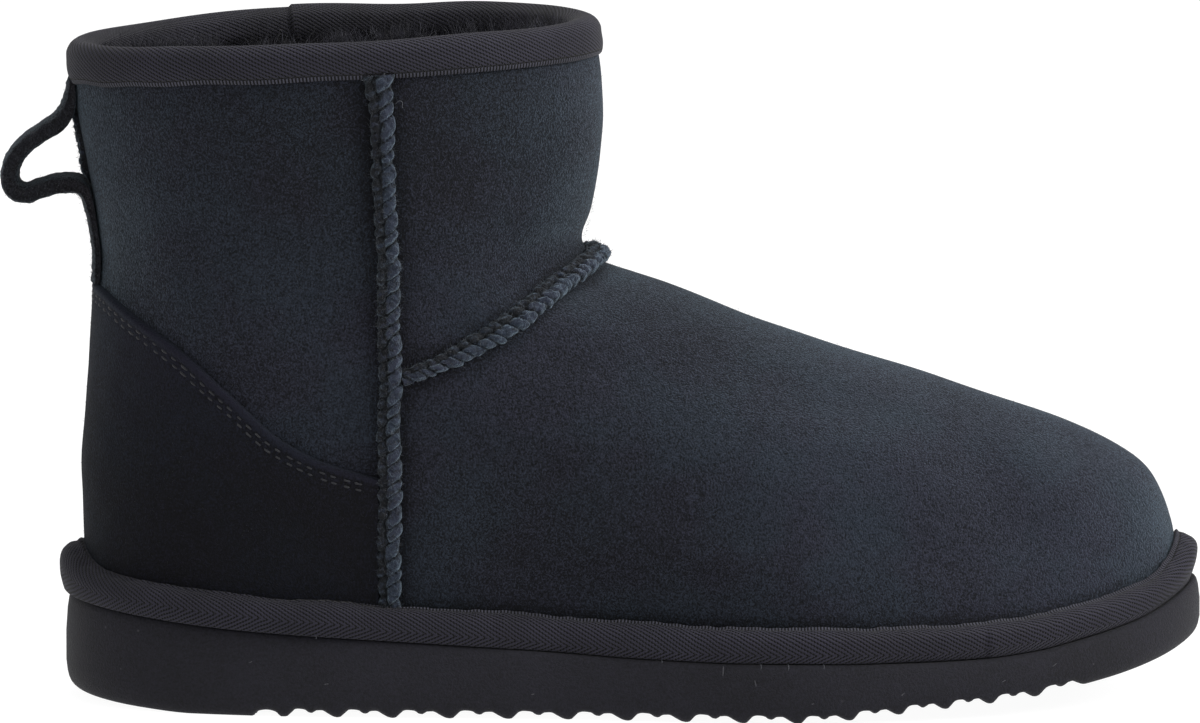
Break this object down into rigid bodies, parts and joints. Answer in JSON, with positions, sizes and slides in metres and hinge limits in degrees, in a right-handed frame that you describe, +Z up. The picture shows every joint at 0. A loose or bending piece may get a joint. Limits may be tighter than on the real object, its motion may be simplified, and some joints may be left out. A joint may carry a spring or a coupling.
{
  "type": "sheepskin ankle boot",
  "caption": "Short pull-on sheepskin boot with raised seams, heel counter, taped collar and rand, back pull loop and a thick ribbed foam sole; right foot.",
  "frame": {"origin": "on the floor, under the centre of the heel seat", "axes": "+X towards the toe, +Z up, +Y to the wearer's left, which is the medial side of this right boot"},
  "size_m": [0.3, 0.1075, 0.1706],
  "materials": {
    "suede": "napped suede, navy black",
    "counter_suede": "napped suede, nearly black",
    "seam_suede": "napped suede edge, whip stitched",
    "loop_suede": "napped suede strap",
    "binding_tape": "twill tape",
    "sole_foam": "matte moulded foam",
    "fleece": "dense wool pile"
  },
  "bodies": {
    "root": {"outsole": "sole_foam", "insole": "fleece", "rand_binding": "binding_tape", "upper": "suede", "heel_counter": "counter_suede", "side_seam_lateral": "seam_suede", "side_seam_medial": "seam_suede", "vamp_seam": "seam_suede", "back_seam": "seam_suede", "collar_binding": "binding_tape", "pull_loop": "loop_suede"}
  },
  "joints": []
}
